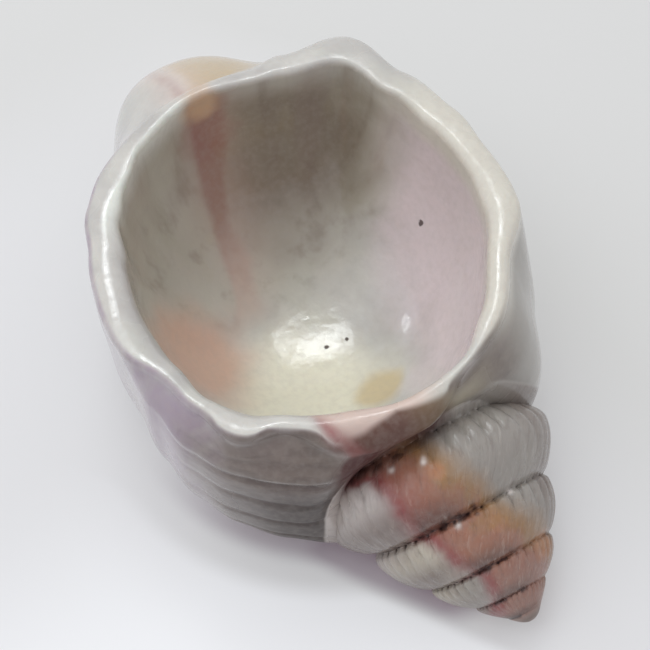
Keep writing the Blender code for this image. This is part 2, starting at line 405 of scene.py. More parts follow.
    def section(self, angle: float, spire: Spire) -> list[Vector]:
        """Draws one upright section of the bowl.

        Args:
            angle: of the section round the bowl, in radians.
            spire: the spire, which the wall is cut back from.

        Returns:
            The section's points, from the foot over the lip to the middle of the floor.
        """
        lobe = self.lobe_at(angle)
        inner_fall = self.lip_drop + self.lip_rounding * (lobe.crest - lobe.inner)
        outer_top = self.rim_height - lobe.fall
        inner_top = self.rim_height - inner_fall
        depth = inner_top - self.floor_thickness
        out = Vector((math.cos(angle), math.sin(angle), 0.0))
        up = Vector((0.0, 0.0, 1.0))
        points = [Vector()]
        points += [out * (lobe.foot - self.foot_round) * share for share in (0.5, 1.0)]
        for share in self.wall_shares():
            height = self.foot_rise + (outer_top - self.foot_rise) * share
            radius = self.wall_radius(angle, height, outer_top, lobe, spire)
            points.append(out * radius + up * height)
        for step in range(self.lip_rings + 1):
            turn = math.pi * step / self.lip_rings
            across = math.cos(turn)
            edge, fall = (lobe.outer, lobe.fall) if across > 0.0 else (lobe.inner, inner_fall)
            radius = lobe.crest + (edge - lobe.crest) * abs(across) ** self.lip_curve
            height = self.rim_height - fall * (1.0 - math.sin(turn) ** self.lip_curve)
            points.append(out * radius + up * height)
        for step in range(1, self.hollow_rings + 1):
            turn = 0.5 * math.pi * step / (self.hollow_rings + self.last_ring_gap)
            share = math.cos(turn) ** self.hollow_curve
            radius = (lobe.inner * share + self.floor_radius * (1.0 - share)) * share
            height = self.floor_thickness + depth * (1.0 - math.sin(turn))
            points.append(out * radius + up * height + self.hollow_shift * (1.0 - share))
        points.append(self.hollow_shift + up * self.floor_thickness)
        return points


class Value:
    """A number that varies over the surface. Python expressions on values add Math nodes."""

    def __init__(self, bench: "NodeBench", socket: bpy.types.NodeSocket) -> None:
        """Wraps a node's output.

        Args:
            bench: where further nodes are made.
            socket: the output that holds the number.
        """
        self.bench = bench
        self.socket = socket

    def maths(self, operation: str, *inputs: "Value | float") -> "Value":
        """Adds a Math node.

        Args:
            operation: the Math node's operation.
            inputs: the node's inputs, in order.

        Returns:
            The node's result.
        """
        node = self.bench.make("ShaderNodeMath", {"operation": operation}, dict(enumerate(inputs)))
        return Value(self.bench, node.outputs[0])

    def __add__(self, other: "Value | float") -> "Value":
        """Returns the sum."""
        return self.maths("ADD", self, other)

    def __radd__(self, other: float) -> "Value":
        """Returns the sum with a plain number before it."""
        return self.maths("ADD", other, self)

    def __sub__(self, other: "Value | float") -> "Value":
        """Returns the difference."""
        return self.maths("SUBTRACT", self, other)

    def __rsub__(self, other: float) -> "Value":
        """Returns a plain number less this one."""
        return self.maths("SUBTRACT", other, self)

    def __mul__(self, other: "Value | float") -> "Value":
        """Returns the product."""
        return self.maths("MULTIPLY", self, other)

    def __truediv__(self, other: "Value | float") -> "Value":
        """Returns the quotient."""
        return self.maths("DIVIDE", self, other)

    def __pow__(self, other: float) -> "Value":
        """Returns this number raised to a power."""
        return self.maths("POWER", self, other)

    def __abs__(self) -> "Value":
        """Returns the size of this number without its sign."""
        return self.maths("ABSOLUTE", self)

    def clamped(self) -> "Value":
        """Returns this number held between 0 and 1."""
        return self.maths("MINIMUM", self.maths("MAXIMUM", self, 0.0), 1.0)

    def bell(self, width: float) -> "Value":
        """Returns 1 where this number is 0, falling to a third at one width either side."""
        share = self * (1.0 / width)
        return self.maths("EXPONENT", share * share * -1.0)

    def step(self, low: "Value | float", high: "Value | float") -> "Value":
        """Turns this number into a smooth step.

        Args:
            low: where the step starts.
            high: where the step ends, which may lie below its start.

        Returns:
            0 up to the start, 1 past the end and a smooth rise between them.
        """
        inputs = {"Value": self, "From Min": low, "From Max": high}
        node = self.bench.make("ShaderNodeMapRange", {"interpolation_type": "SMOOTHSTEP"}, inputs)
        return Value(self.bench, node.outputs["Result"])

    def follow(self, points: Line) -> "Value":
        """Looks up this number on a line through a few points.

        Args:
            points: a number and a height for each point, the numbers in rising order.

        Returns:
            The line's height over this number.
        """
        total = points[0][1]
        for (low, start), (high, end) in zip(points, points[1:]):
            inputs = {"Value": self, "From Min": low, "From Max": high, "To Max": end - start}
            node = self.bench.make("ShaderNodeMapRange", {}, inputs)
            total = Value(self.bench, node.outputs["Result"]) + total
        return total

    def curve(self, points: Line) -> "Value":
        """Looks up this number on a smooth curve through many points.

        Args:
            points: a number and a height for each point, the numbers in rising order.

        Returns:
            The curve's height over this number.
        """
        start, span = points[0][0], points[-1][0] - points[0][0]
        low = min(height for _, height in points)
        rise = max(height for _, height in points) - low
        node = self.bench.make("ShaderNodeFloatCurve", {}, {"Value": (self - start) * (1.0 / span)})
        line = node.mapping.curves[0]
        places = [((at - start) / span, (height - low) / rise) for at, height in points]
        line.points[0].location, line.points[-1].location = places[0], places[-1]
        for at, height in places[1:-1]:
            line.points.new(at, height)
        node.mapping.update()
        return Value(self.bench, node.outputs[0]) * rise + low


class Place:
    """A point on the surface, in millimetres, or a direction from it."""

    def __init__(self, bench: "NodeBench", socket: bpy.types.NodeSocket) -> None:
        """Wraps a node's vector output.

        Args:
            bench: where further nodes are made.
            socket: the output that holds the vector.
        """
        self.bench = bench
        self.socket = socket

    def vector_maths(self, operation: str, other: "Place | Colour") -> bpy.types.Node:
        """Returns a Vector Math node on this vector and another."""
        inputs = {0: self, 1: other}
        return self.bench.make("ShaderNodeVectorMath", {"operation": operation}, inputs)

    def __add__(self, other: "Place | Colour") -> "Place":
        """Returns the sum of the two vectors."""
        return Place(self.bench, self.vector_maths("ADD", other).outputs[0])

    def __sub__(self, other: "Place | Colour") -> "Place":
        """Returns the vector from the other one to this one."""
        return Place(self.bench, self.vector_maths("SUBTRACT", other).outputs[0])

    def __mul__(self, other: "Place | Colour") -> "Place":
        """Returns the product, axis by axis."""
        return Place(self.bench, self.vector_maths("MULTIPLY", other).outputs[0])

    def dot(self, direction: Vector) -> Value:
        """Returns how far this vector reaches along a direction."""
        return Value(self.bench, self.vector_maths("DOT_PRODUCT", tuple(direction)).outputs[1])

    def distance(self, point: Colour) -> Value:
        """Returns the distance to a point."""
        return Value(self.bench, self.vector_maths("DISTANCE", point).outputs[1])

    def length(self) -> Value:
        """Returns the length of this vector."""
        return self.distance((0.0, 0.0, 0.0))

    def axes(self) -> tuple[Value, Value, Value]:
        """Returns the three parts of this vector."""
        node = self.bench.make("ShaderNodeSeparateXYZ", {}, {0: self})
        return tuple(Value(self.bench, output) for output in node.outputs)


class Tint:
    """A colour that varies over the surface."""

    def __init__(self, bench: "NodeBench", socket: bpy.types.NodeSocket) -> None:
        """Wraps a node's colour output.

        Args:
            bench: where further nodes are made.
            socket: the output that holds the colour.
        """
        self.bench = bench
        self.socket = socket

    def mixed(self, colour: "Tint | Colour", share: Value) -> "Tint":
        """Lays another colour over this one.

        Args:
            colour: the colour laid over this one.
            share: how much of it is laid on, from 0 to 1.

        Returns:
            The mixed colour.
        """
        return self.bench.colour(self, colour, share)


class NodeBench:
    """Makes the nodes of one material."""

    def __init__(self, material: bpy.types.Material) -> None:
        """Starts on a material's node tree.

        Args:
            material: the material, with its nodes in use.
        """
        self.tree = material.node_tree

    def make(self, kind: str, settings: dict, inputs: dict) -> bpy.types.Node:
        """Adds a node.

        Args:
            kind: the node's type.
            settings: the node's own settings, which are made first.
            inputs: a value or a link for each of the named or numbered sockets.

        Returns:
            The new node.
        """
        node = self.tree.nodes.new(kind)
        for name, setting in settings.items():
            setattr(node, name, setting)
        for name, value in inputs.items():
            self.feed(node.inputs[name], value)
        return node

    def feed(
        self, socket: bpy.types.NodeSocket, value: "Value | Place | Tint | float | Colour"
    ) -> None:
        """Links a wrapped output to a socket, or sets the socket's own value.

        Args:
            socket: the input to feed.
            value: a wrapped output, or a plain number, colour or vector.
        """
        if isinstance(value, (Value, Place, Tint)):
            self.tree.links.new(value.socket, socket)
        elif isinstance(value, tuple) and len(socket.default_value) == 4:
            socket.default_value = (*value, 1.0)
        else:
            socket.default_value = value

    def surface(self, origin: Vector) -> Place:
        """Finds the point on the surface that is being shaded.

        Args:
            origin: the point that counts as zero, in mm.

        Returns:
            The point, in mm from the origin.
        """
        node = self.make("ShaderNodeTexCoord", {}, {})
        in_metres = Place(self, node.outputs["Object"])
        return in_metres * (1000.0, 1000.0, 1000.0) - tuple(origin)

    def noise(self, place: Place, size: float, detail: float = 2.0, warp: float = 0.0) -> Value:
        """Makes soft cloudy noise.

        Args:
            place: the point on the surface, in mm.
            size: how far apart its patches lie, in mm.
            detail: how many finer layers it has.
            warp: how far it is distorted.

        Returns:
            A number about 0.5.
        """
        inputs = {"Vector": place, "Scale": 1.0 / size, "Detail": detail, "Distortion": warp}
        node = self.make("ShaderNodeTexNoise", {}, inputs)
        return Value(self, node.outputs["Fac"])

    def colour(self, colour: "Tint | Colour", other: "Tint | Colour", share: Value) -> Tint:
        """Blends two colours.

        Args:
            colour: the first colour.
            other: the second colour.
            share: how much of the second one there is, from 0 to 1.

        Returns:
            The blend.
        """
        settings = {"data_type": "RGBA", "clamp_factor": True}
        node = self.make("ShaderNodeMix", settings, {0: share, 6: colour, 7: other})
        return Tint(self, node.outputs[2])


@dataclass(frozen=True)
class StoneFinish:
    """The polished banded stone. Colours are linear, lengths are in mm from the bowl's axis.

    The band's two edges give y over x. Each facet is a place, its size and its tilt. Each patch
    is a place, its size and its strength, and each painted glint a place and its size.
    """

    cream: Colour = (0.60, 0.59, 0.535)
    grey: Colour = (0.46, 0.45, 0.42)
    green: Colour = (0.56, 0.59, 0.50)
    lip_green: Colour = (0.80, 0.84, 0.75)
    olive: Colour = (0.40, 0.37, 0.28)
    lilac: Colour = (0.74, 0.63, 0.64)
    # The far hollow's umber, made darker to stand in for shade as well.
    umber: Colour = (0.16, 0.115, 0.075)
    floor_cream: Colour = (0.81, 0.79, 0.62)
    peach: Colour = (0.68, 0.43, 0.31)
    ochre: Colour = (0.32, 0.17, 0.058)
    pale_ochre: Colour = (0.62, 0.49, 0.25)
    orange: Colour = (0.52, 0.22, 0.09)
    pink: Colour = (0.66, 0.50, 0.42)
    pink_brown: Colour = (0.345, 0.144, 0.082)
    hollow_brown: Colour = (0.29, 0.155, 0.112)
    hollow_pink: Colour = (0.52, 0.36, 0.285)
    knob_peach: Colour = (0.50, 0.38, 0.215)
    # These two colours are laid on as painted shade under the lip by the spire, and the first also
    # on the whorls' lower edges.
    painted_shade_brown: Colour = (0.10, 0.042, 0.028)
    painted_overhang_olive: Colour = (0.17, 0.11, 0.06)
    maroon: Colour = (0.26, 0.060, 0.060)
    rim_yellow: Colour = (0.69, 0.665, 0.56)
    lavender: Colour = (0.385, 0.318, 0.372)
    wall_mauve: Colour = (0.27, 0.20, 0.26)
    # This colour is laid on as painted shade under the lip on the right, and with the stone's own
    # colour on the wall's front.
    wall_brown: Colour = (0.163, 0.130, 0.105)
    side_grey: Colour = (0.33, 0.32, 0.285)
    whorl_grey: Colour = (0.29, 0.27, 0.235)
    whorl_pale: Colour = (0.58, 0.53, 0.49)
    whorl_shade: Colour = (0.16, 0.12, 0.10)
    whorl_cream: Colour = (0.58, 0.54, 0.43)
    # Painted highlight: the pale colour of the glints laid on a few beads of the spire.
    painted_glint_white: Colour = (0.90, 0.84, 0.78)
    mauve: Colour = (0.23, 0.145, 0.135)
    near_black: Colour = (0.035, 0.012, 0.010)
    # Painted shade on the low front of the wall beside the spire.
    painted_low_shade: Colour = (0.045, 0.033, 0.027)
    grain_brown: Colour = (0.07, 0.05, 0.045)
    # Painted shade in the crevice by the spire.
    painted_cleft_shade: Colour = (0.07, 0.017, 0.015)
    suture_brown: Colour = (0.10, 0.035, 0.03)
    amber: Colour = (0.62, 0.40, 0.23)
    scratch_dark: Colour = (0.12, 0.08, 0.07)
    scratch_pale: Colour = (0.74, 0.68, 0.60)
    mottle_grey: Colour = (0.40, 0.36, 0.32)
    band_left: Line = (
        (-50.0, 0.5), (-39.0, -1.4), (-28.4, -4.3), (-14.5, -8.0), (-6.0, -14.0), (24.0, -19.0),
        (30.4, -18.2), (34.2, -17.9), (36.0, -17.1), (38.0, -15.9), (39.5, -13.4), (44.0, -13.3),
        (48.5, -12.8), (52.0, -10.6), (56.5, -9.2), (59.2, -8.1), (61.5, -5.2), (66.0, -4.7),
    )
    band_right: Line = (
        (-46.0, 14.0), (-38.0, 6.5), (-33.0, 1.8), (-28.0, -0.6), (-20.0, -0.9), (-12.8, -3.6),
        (20.0, -2.0), (36.0, 1.0), (40.0, -3.0), (44.0, -2.5), (50.0, -0.5), (57.0, 4.5),
        (64.0, 12.0),
    )
    facets: tuple[tuple[Colour, float, Colour], ...] = (
        ((10.8, 16.6, 12.1), 4.2, (-0.27, -0.39, -0.33)),
        ((43.3, -5.6, 34.6), 1.6, (-0.05, -0.21, -0.07)),
        ((53.9, -5.3, 26.3), 1.7, (-0.03, -0.48, -0.30)),
        ((54.3, 6.0, 26.4), 1.3, (-0.22, -0.12, -0.12)),
    )
    patches: tuple[tuple[Colour, float, float], ...] = (
        ((46.1, -4.6, 34.7), 2.2, 0.45),
        ((57.2, 0.8, 26.6), 2.8, 0.2),
        ((63.4, 8.0, 16.5), 4.0, 0.35),
    )
    # Painted glints: pale spots on a few beads of the spire, in place of highlights.
    painted_glints: tuple[tuple[Colour, float], ...] = (
        ((40.5, -10.1, 31.7), 0.6),
        ((43.3, -5.6, 34.6), 0.55),
        ((42.7, -5.1, 35.0), 0.5),
        ((53.9, -5.3, 26.3), 0.65),
        ((54.3, 6.0, 26.4), 0.45),
    )
    roughness: float = 0.11
    coat: float = 0.5
    coat_roughness: float = 0.04
    scatter: float = 0.10
    scatter_reach: Colour = (1.0, 0.7, 0.5)
    scatter_scale: float = 0.003

    def dress(self, piece: bpy.types.Object, bowl: Bowl, spire: Spire, origin: Vector) -> None:
        """Gives the piece its stone.

        Args:
            piece: the finished dish.
            bowl: the bowl, whose lip parts the hollow's colours from the wall's.
            spire: the spire, whose whorls the scratches, the dark suture marks and the painted
                shade follow.
            origin: the bowl's axis in the frame, in mm.
        """
        material = bpy.data.materials.new("banded_stone")
        material.use_nodes = True
        bench = NodeBench(material)
        shell = ShellMap(bench, bench.surface(origin), bowl, spire)
        tint = self.ground(bench, shell)
        for lay in (self.hollow_tints, self.wall_tints, self.whorl_tints, self.band, self.flecks):
            tint = lay(bench, shell, tint)
        surface = material.node_tree.nodes["Principled BSDF"]
        bench.feed(surface.inputs["Base Color"], tint)
        worn = bench.noise(shell.place, 5.5, 1.0).step(0.40, 0.58)
        lip = shell.z.step(41.5, 42.8)
        matt = bench.noise(shell.place, 6.0, 3.0) * 0.10 + shell.on_spire * 0.10
        dull = (shell.crevice + shell.overhang + shell.pits + shell.low_front * 0.8).clamped()
        matt = matt + shell.suture * 0.4 + dull * 0.4 + lip * worn * 0.14
        bench.feed(surface.inputs["Roughness"], matt + self.roughness)
        polish = (1.0 - lip * worn * 0.85) * (1.0 - shell.on_spire * 0.3)
        polish = polish * (1.0 - dull)
        bench.feed(surface.inputs["Coat Weight"], polish * self.coat)
        surface.inputs["Coat Roughness"].default_value = self.coat_roughness
        surface.inputs["Subsurface Weight"].default_value = self.scatter
        surface.inputs["Subsurface Radius"].default_value = self.scatter_reach
        surface.inputs["Subsurface Scale"].default_value = self.scatter_scale
        inputs = {"Height": self.relief(bench, shell), "Distance": MM, "Strength": 1.0}
        bumped = bench.make("ShaderNodeBump", {}, inputs)
        bench.tree.links.new(bumped.outputs["Normal"], surface.inputs["Normal"])
        piece.data.materials.append(material)

    def relief(self, bench: NodeBench, shell: "ShellMap") -> Value:
        """Works out the relief: the polish's waves, the facets and the scratches.

        Args:
            bench: where the nodes are made.
            shell: where each point on the surface lies.

        Returns:
            The height, in mm.
        """
        waves, ripples = bench.noise(shell.place, 4.5, 1.0), bench.noise(shell.place, 1.5, 2.0)
        height = waves * 0.22 + ripples * 0.07
        for spot, size, tilt in self.facets:
            ramp = (shell.place - spot).dot(tilt)
            height = height + ramp * shell.place.distance(spot).bell(size)
        return height + shell.streaks * shell.on_spire * 0.24

    def ground(self, bench: NodeBench, shell: "ShellMap") -> Tint:
        """Starts on the plain stone: cream and grey in large soft clouds.

        Args:
            bench: where the nodes are made.
            shell: where each point on the surface lies.

        Returns:
            The plain stone's colour.
        """
        clouds = bench.noise(shell.place, 24.0, 3.0, 0.8).step(0.38, 0.64)
        tint = bench.colour(self.cream, self.grey, clouds)
        greenish = bench.noise(shell.place + (40.0, 0.0, 0.0), 16.0, 2.0, 0.5).step(0.5, 0.72)
        return tint.mixed(self.green, greenish * 0.35)

    def hollow_tints(self, bench: NodeBench, shell: "ShellMap", tint: Tint) -> Tint:
        """Lays on the hollow's own colours.

        Args:
            bench: where the nodes are made.
            shell: where each point on the surface lies.
            tint: the stone's colour so far.

        Returns:
            The colour with the hollow's patches over it, some of them painted shade.
        """
        x, y, z, place = shell.x, shell.y, shell.z, shell.place
        drift = bench.noise(place, 14.0, 2.0, 0.6) - 0.5
        drips = bench.noise(place * (1.0, 1.0, 0.13), 4.0, 3.0).step(0.48, 0.75)
        inside = shell.inside * z.step(44.0, y.follow(((-8.0, 39.5), (4.0, 42.5))))
        near_lip = 1.0 - z.step(36.0, 43.0) * 0.65
        olive = (x + drift * 14.0).step(8.0, -26.0)
        tint = tint.mixed(self.olive, inside * olive * near_lip * 0.75)
        # The hollow's far upper wall: the stone's umber, deepened as painted shade.
        umber = ((place - (-30.0, 15.0, 28.0)) * (1.0, 0.9, 0.8)).length()
        umber = (umber + drift * 14.0).step(25.0, 8.0) * near_lip
        tint = tint.mixed(self.umber, inside * umber * 0.82)
        tint = tint.mixed(self.umber, inside * drips * x.step(2.0, -20.0) * 0.35)
        lip_green = (z - 43.5).bell(4.0) * x.step(-18.0, -28.0) * (y + drift * 8.0).step(2.0, -4.0)
        tint = tint.mixed(self.lip_green, shell.beyond_crest.step(0.3, -0.5) * lip_green * 0.85)
        lilac = (y + drift * 12.0 + x * 0.5).step(14.0, 29.0) * x.step(-26.0, -6.0)
        tint = tint.mixed(self.lilac, inside * lilac * 0.9)
        # Painted shade: a grey patch that dims part of the hollow's floor.
        dull = shell.near((8.0, 13.0, 10.0), drift * 8.0, 14.0, 5.0)
        tint = tint.mixed(self.grey, inside * dull * 0.35)
        cream = shell.near((12.0, -10.0, 9.0), drift * 8.0, 24.0, 8.0)
        tint = tint.mixed(self.floor_cream, cream * inside)
        peach = shell.near((-5.0, -24.5, 14.0), drift * 10.0, 18.5, 6.0)
        tint = tint.mixed(self.peach, peach * inside * 0.8)
        ochre = shell.near((19.9, 3.0, 12.0), drift * 5.0, 6.5, 3.0)
        tint = tint.mixed(self.pale_ochre, ochre * inside * 0.7)
        lip = z.step(36.0, 41.0) * y.step(8.0, 20.0) * x.step(-30.0, -8.0)
        return tint.mixed(self.rim_yellow, lip * 0.8)

    def wall_tints(self, bench: NodeBench, shell: "ShellMap", tint: Tint) -> Tint:
        """Lays on the outer wall's own colours.

        Args:
            bench: where the nodes are made.
            shell: where each point on the surface lies.
            tint: the stone's colour so far.

        Returns:
            The colour with the wall's veils, greys, painted shade and grooves over it.
        """
        x, y, z, place = shell.x, shell.y, shell.z, shell.place
        drift = bench.noise(place, 9.0, 4.0, 0.5) - 0.5
        veiled = bench.noise(place * (1.0, 1.0, 0.4), 7.0, 4.0, 1.0)
        veiled = veiled.step(0.30, 0.62) * 0.5 + 0.45
        tint = tint.mixed(self.lavender, shell.wall * y.step(-8.0, -26.0) * veiled)
        streak = bench.noise(place * (1.0, 1.0, 0.3) + (0.0, 60.0, 0.0), 5.0, 3.0, 0.8)
        bruise = shell.near((13.8, -38.4, 36.0), drift * 8.0, 9.0, 3.0)
        streak = (streak.step(0.55, 0.72) * 0.4 + bruise * 0.45).clamped()
        tint = tint.mixed(self.wall_mauve, shell.wall * y.step(-8.0, -26.0) * streak)
        side = y.step(4.0, 16.0) * (x + drift * 8.0).step(2.0, 22.0) * z.step(42.5, 39.5)
        tint = tint.mixed(self.side_grey, shell.wall * side * 0.9)
        tint = tint.mixed(self.grey, shell.wall * side * z.step(28.0, 18.0) * 0.35)
        outer_lip = shell.beyond_crest.step(1.0, 4.0) * z.step(35.0, 39.0) * y.step(4.0, 14.0)
        tint = tint.mixed(self.grey, outer_lip * x.step(-12.0, -28.0) * (1.0 - shell.inside) * 0.55)
        # Painted shade under the lip on the right-hand wall.
        below_lip = z.step(32.5, 37.0) * y.step(27.0, 14.0) * x.step(24.0, 34.0)
        tint = tint.mixed(self.wall_brown, shell.wall * below_lip * 0.7)
        # The wall's front: its own darker colour deepened as painted shade, and painted shade on
        # its low part beside the spire.
        tint = tint.mixed(self.wall_brown, shell.front * 0.9)
        tint = tint.mixed(self.painted_low_shade, shell.low_front * 0.95)
        grain = bench.noise(place * (0.6, 0.6, 2.2), 2.6, 4.0, 0.6).step(0.42, 0.72)
        tint = tint.mixed(self.grain_brown, shell.front * grain * 0.35)
        return tint.mixed(self.near_black, shell.groove * shell.wall * 0.6)

    def whorl_tints(self, bench: NodeBench, shell: "ShellMap", tint: Tint) -> Tint:
        """Lays on the spire's own colours and painted shade.

        Args:
            bench: where the nodes are made.
            shell: where each point on the surface lies.
            tint: the stone's colour so far.

        Returns:
            The colour with the whorls' greys and painted shade over it.
        """
        x, y = shell.x, shell.y
        drift = bench.noise(shell.place, 7.0, 3.0, 0.5) - 0.5
        tint = tint.mixed(self.whorl_grey, shell.on_spire * 0.92)
        left = (y + drift * 4.0).step(-6.0, -13.0)
        pale = bench.colour(self.whorl_pale, self.whorl_cream, x.step(46.0, 54.0))
        tint = tint.mixed(pale, shell.on_spire * left * 0.9)
        # Painted shade on the spire's sides where they turn under.
        low = shell.turn.step(0.7, 1.15) * shell.along.step(32.5, 28.0) * 0.35
        low = low + shell.turn.step(-0.45, -0.95) * 0.6
        tint = tint.mixed(self.whorl_shade, shell.on_spire * low)
        # Painted shade on the lower edge of each whorl on the pale side.
        tucked = shell.on_spire * left * shell.share.step(0.75, 0.3)
        return tint.mixed(self.whorl_shade, tucked * 0.85)

    def band(self, bench: NodeBench, shell: "ShellMap", tint: Tint) -> Tint:
        """Lays on the coloured band that runs along the whole shell.

        Args:
            bench: where the nodes are made.
            shell: where each point on the surface lies.
            tint: the stone's colour so far.

        Returns:
            The colour with the band, its vein and painted shade in the crevice and under the lip.
        """
        x, y, z = shell.x, shell.y, shell.z
        drift = bench.noise(shell.place, 7.0, 4.0, 0.4) - 0.5
        left, right = x.follow(self.band_left), x.follow(self.band_right)
        beyond = y - left + drift * 1.8
        across = beyond / (right - left) + drift * 0.25
        held = beyond.step(-0.8, 1.2) * across.step(1.3, 0.75)
        spire, knob = shell.on_spire, x.step(-39.5, -42.5)
        fading = x.follow(((-45.0, 0.95), (-33.0, 0.85), (-20.0, 0.65), (-12.0, 0.4), (-7.0, 0.0)))
        far = shell.inside * fading * z.step(43.8, 41.0)
        peach = beyond.step(1.0, 5.0) * across.step(2.0, 1.1)
        tint = tint.mixed(self.knob_peach, peach * knob * 0.9)
        tint = tint.mixed(self.pink, (beyond - 1.0).bell(5.0) * knob * 0.5)
        wide = (beyond - 4.0).bell(6.5) * far
        tint = tint.mixed(self.hollow_pink, wide * 0.5)
        hollow = bench.colour(self.hollow_brown, self.hollow_pink, x.step(-32.0, -16.0))
        tint = tint.mixed(hollow, held * far * 0.9)
        rim = x.step(24.0, 28.0) * (1.0 - spire) * z.step(36.0, 41.0)
        tint = tint.mixed(self.pink, held * rim * 0.8)
        shaded = held * rim * shell.beyond_crest.step(-0.5, 2.5) * y.step(-4.0, -10.0)
        tint = tint.mixed(self.mauve, shaded * 0.4)
        # Painted shade on the lip's underside beside the spire, from dark to olive.
        dark = bench.colour(self.painted_shade_brown, self.painted_overhang_olive, y.step(-8.0, 0.0))
        dark = dark.mixed(self.olive, y.step(-1.0, 6.0) * 0.9)
        tint = tint.mixed(dark, beyond.step(0.0, 2.0) * shell.overhang * 0.95)
        stripe = bench.colour(self.pink_brown, self.ochre, (across + drift * 0.6).step(0.45, 0.85))
        stripe = stripe.mixed(self.mauve, x.step(60.0, 65.0) * 0.35)
        tint = tint.mixed(stripe, held * spire * 0.9)
        tint = tint.mixed(self.maroon, (beyond - 2.0).bell(2.6) * spire * x.step(56.0, 50.0) * 0.35)
        edge = (beyond - 0.4).bell(1.3) * (0.8 + drift * 1.6)
        outward = shell.beyond_crest.step(-3.0, 2.5) * 0.9 + 0.2
        vein = edge * (spire * 0.95 + rim * outward + knob * 0.35 + far * 0.1).clamped()
        tint = tint.mixed(self.maroon, vein.clamped())
        # Painted shade: the vein darkened past the lip's crest.
        tint = tint.mixed(self.painted_shade_brown, edge * rim * shell.beyond_crest.step(1.5, 3.5) * 0.5)
        # Painted shade on the lower edge of each whorl across the band.
        painted_lower_shade = shell.share.step(0.5, 0.1) * held * spire * beyond.step(10.0, 3.0)
        tint = tint.mixed(self.painted_shade_brown, painted_lower_shade * 0.85)
        pits = shell.rim.bell(0.10) * held * spire * beyond.step(14.0, 7.0)
        pits = pits * shell.turn.step(-0.3, 0.1)
        pits = pits * bench.noise(shell.place, 2.6, 1.0).step(0.47, 0.57)
        tint = tint.mixed(self.near_black, pits * 0.95)
        # Painted shade in the crevice by the spire.
        return tint.mixed(self.painted_cleft_shade, shell.crevice * 0.92)

    def flecks(self, bench: NodeBench, shell: "ShellMap", tint: Tint) -> Tint:
        """Lays on the small marks: blotches, painted glints, streaks, pits and fine mottling.

        Args:
            bench: where the nodes are made.
            shell: where each point on the surface lies.
            tint: the stone's colour so far.

        Returns:
            The finished colour.
        """
        place, spire = shell.place, shell.on_spire
        drift = bench.noise(place, 5.0, 2.0) - 0.5
        red = shell.near((-37.8, 1.8, 33.5), drift * 6.0, 8.0, 3.5)
        tint = tint.mixed(self.maroon, red * 0.3)
        amber = shell.near((-38.7, 1.6, 41.0), drift * 4.0, 5.5, 1.5)
        tint = tint.mixed(self.amber, amber * 0.8)
        for spot, size, strength in self.patches:
            patch = shell.near(spot, drift * 3.0, size, 0.4 * size)
            tint = tint.mixed(self.orange, patch * strength)
        # Painted glints: pale spots laid on a few beads, in place of highlights.
        for spot, size in self.painted_glints:
            painted_glint = (place.distance(spot) + drift * 0.5).bell(size)
            tint = tint.mixed(self.painted_glint_white, painted_glint * 0.8)
        tint = tint.mixed(self.scratch_dark, shell.streaks.step(0.50, 0.78) * spire * 0.30)
        tint = tint.mixed(self.scratch_pale, shell.streaks.step(0.46, 0.25) * spire * 0.16)
        tint = tint.mixed(self.suture_brown, shell.suture * shell.turn.step(1.1, 0.75) * 0.5)
        tint = tint.mixed(self.near_black, shell.dots)
        mottle = bench.noise(place, 1.4, 3.0).step(0.35, 0.75)
        tint = tint.mixed(self.mottle_grey, mottle * 0.14)
        return tint.mixed(self.near_black, shell.pits * 0.85)


